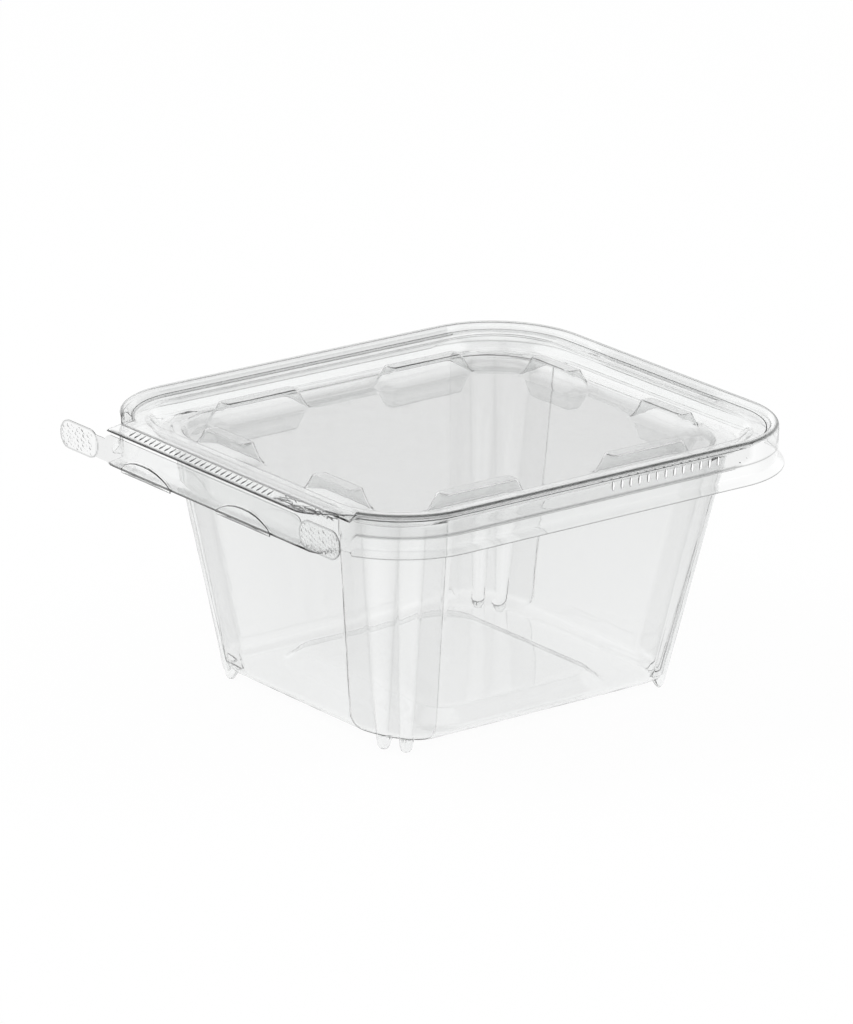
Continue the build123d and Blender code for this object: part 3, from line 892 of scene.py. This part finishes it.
# ---------------------------------------------------------------- floor, world, lamps
# Bright windows and darker flats take turns round the studio, this many of each
WINDOWS = 6.0
WINDOW_PHASE = 0.4
FLOOR_HALF = 3.0
FLOOR_Z = -0.0002
FLOOR_LEVEL, FLOOR_WAVE = 0.84, 0.24
FLOOR_GLOW = 0.97
# Brightness by height, from the horizon at 0 to straight up at 1
WORLD_RAMP = ((0.06, 1.0), (0.16, 1.0), (0.45, 1.0), (0.70, 0.97), (0.78, 0.25), (0.86, 0.25), (0.91, 0.94))
WORLD_TOP = 0.85
WORLD_WAVE = 0.3
WORLD_LIGHT = 0.7


class Tree:
    """A node tree, with a short way to add nodes."""

    def __init__(self, tree):
        self.nodes, self.links = tree.nodes, tree.links

    def feed(self, socket, value):
        """Set a socket to a number, or link another node's output to it."""
        if isinstance(value, (int, float)):
            socket.default_value = value
        else:
            self.links.new(value, socket)

    def math(self, operation, *values):
        """Output of a math node."""
        node = self.nodes.new("ShaderNodeMath")
        node.operation = operation
        for socket, value in zip(node.inputs, values):
            self.feed(socket, value)
        return node.outputs[0]

    def mix(self, factor, first, second):
        """Output of a shader mix."""
        node = self.nodes.new("ShaderNodeMixShader")
        for socket, value in zip(node.inputs, (factor, first, second)):
            self.feed(socket, value)
        return node.outputs[0]

    def axes(self, coordinates):
        """X, Y and Z of one kind of texture coordinates."""
        coord = self.nodes.new("ShaderNodeTexCoord")
        split = self.nodes.new("ShaderNodeSeparateXYZ")
        self.links.new(coord.outputs[coordinates], split.inputs["Vector"])
        return split.outputs["X"], split.outputs["Y"], split.outputs["Z"]

    def windows_round(self, x, y):
        """From 1 at a window to -1 at a flat, by the direction from the middle."""
        turn = self.math("ARCTAN2", y, x)
        return self.math("SINE", self.math("MULTIPLY_ADD", turn, WINDOWS, WINDOW_PHASE))

    def background(self, colour, strength):
        """Output of a background shader, of a plain colour or of another node's."""
        node = self.nodes.new("ShaderNodeBackground")
        node.inputs["Strength"].default_value = strength
        if isinstance(colour, tuple):
            node.inputs["Color"].default_value = colour
        else:
            self.links.new(colour, node.inputs["Color"])
        return node.outputs[0]


WHITE = (1, 1, 1, 1)


def make_stage():
    """White floor. Reflections of it show darker flats between bright windows, as in a studio for clear goods."""
    mesh = bpy.data.meshes.new("floor")
    corners = [(sx * FLOOR_HALF, sy * FLOOR_HALF, FLOOR_Z) for sx, sy in ((-1, -1), (1, -1), (1, 1), (-1, 1))]
    mesh.from_pydata(corners, [], [(0, 1, 2, 3)])
    floor = bpy.data.objects.new("floor", mesh)
    bpy.context.scene.collection.objects.link(floor)
    m = bpy.data.materials.new("floor_white")
    m.use_nodes = True
    tree = Tree(m.node_tree)
    b = tree.nodes["Principled BSDF"]
    b.inputs["Base Color"].default_value = (0.95, 0.95, 0.95, 1)
    b.inputs["Roughness"].default_value = 0.8
    b.inputs["Specular IOR Level"].default_value = 0.2
    path = tree.nodes.new("ShaderNodeLightPath").outputs
    x, y, _ = tree.axes("Object")
    wave = tree.windows_round(x, y)
    reach = tree.math("SQRT", tree.math("ADD", tree.math("POWER", x, 2.0), tree.math("POWER", y, 2.0)))
    away = tree.math("MINIMUM", tree.math("MULTIPLY", reach, 8.0), 1.0)
    shade = tree.math("MULTIPLY_ADD", tree.math("MULTIPLY", wave, away), FLOOR_WAVE, FLOOR_LEVEL)
    # Light that passes a rough sheet counts as glossy too, so only mirrored rays are taken
    mirrored = tree.math("MULTIPLY", path["Is Glossy Ray"], tree.math("SUBTRACT", 1.0, path["Is Transmission Ray"]))
    level = tree.math("ADD", tree.math("MULTIPLY", mirrored, shade), tree.math("SUBTRACT", 1.0, mirrored))
    glow = tree.nodes.new("ShaderNodeEmission")
    glow.inputs["Color"].default_value = WHITE
    tree.links.new(level, glow.inputs["Strength"])
    through = tree.math("MAXIMUM", path["Is Transmission Ray"], mirrored)
    seen = tree.math("MAXIMUM", path["Is Camera Ray"], through)
    surface = tree.mix(tree.math("MULTIPLY", seen, FLOOR_GLOW), b.outputs["BSDF"], glow.outputs["Emission"])
    tree.links.new(surface, tree.nodes["Material Output"].inputs["Surface"])
    floor.data.materials.append(m)


def make_world():
    """White to the camera. The sheet sees a bright studio with windows round it and a dark band above."""
    world = bpy.data.worlds.new("studio")
    bpy.context.scene.world = world
    world.use_nodes = True
    tree = Tree(world.node_tree)
    tree.nodes.clear()
    out = tree.nodes.new("ShaderNodeOutputWorld")
    x, y, z = tree.axes("Generated")
    ramp = tree.nodes.new("ShaderNodeValToRGB")
    ramp.color_ramp.interpolation = "EASE"
    elements = ramp.color_ramp.elements
    elements[0].position, elements[0].color = 0.0, WHITE
    elements[1].position, elements[1].color = 1.0, (WORLD_TOP, WORLD_TOP, WORLD_TOP, 1)
    for position, v in WORLD_RAMP:
        elements.new(position).color = (v, v, v, 1)
    tree.links.new(z, ramp.inputs["Fac"])
    # The windows fade out well above the horizon
    height = tree.math("MULTIPLY", tree.math("ABSOLUTE", z), 2.4)
    low = tree.math("SUBTRACT", 1.0, tree.math("SMOOTH_MIN", height, 1.0, 0.1))
    gain = tree.math("MULTIPLY_ADD", tree.math("MULTIPLY", tree.windows_round(x, y), low), WORLD_WAVE, 1.0)
    colour = tree.nodes.new("ShaderNodeVectorMath")
    colour.operation = "SCALE"
    tree.links.new(ramp.outputs["Color"], colour.inputs[0])
    tree.links.new(gain, colour.inputs["Scale"])
    path = tree.nodes.new("ShaderNodeLightPath").outputs
    by_sheet = tree.math("MAXIMUM", path["Is Glossy Ray"], path["Is Transmission Ray"])
    studio = tree.mix(by_sheet, tree.background(WHITE, WORLD_LIGHT), tree.background(colour.outputs[0], 1.0))
    surface = tree.mix(path["Is Camera Ray"], studio, tree.background(WHITE, 1.0))
    tree.links.new(surface, out.inputs["Surface"])


def make_lamp(name, place, size, power):
    """A soft rectangular lamp that looks at the pack and isn't seen in it."""
    data = bpy.data.lights.new(name, "AREA")
    data.shape = "RECTANGLE"
    data.size, data.size_y = size
    data.energy = power
    lamp = bpy.data.objects.new(name, data)
    bpy.context.scene.collection.objects.link(lamp)
    lamp.location = place
    lamp.rotation_mode = "QUATERNION"
    lamp.rotation_quaternion = (Vector((0, 0, 0.03)) - Vector(place)).to_track_quat("-Z", "Y")
    lamp.visible_glossy = False
    lamp.visible_transmission = False


make_stage()
make_world()
make_lamp("key", (-0.55, 0.35, 0.9), (0.5, 0.35), 4.0)
make_lamp("fill", (0.8, -0.4, 0.7), (0.35, 0.5), 2.5)

bpy.context.scene.view_settings.view_transform = "Standard"
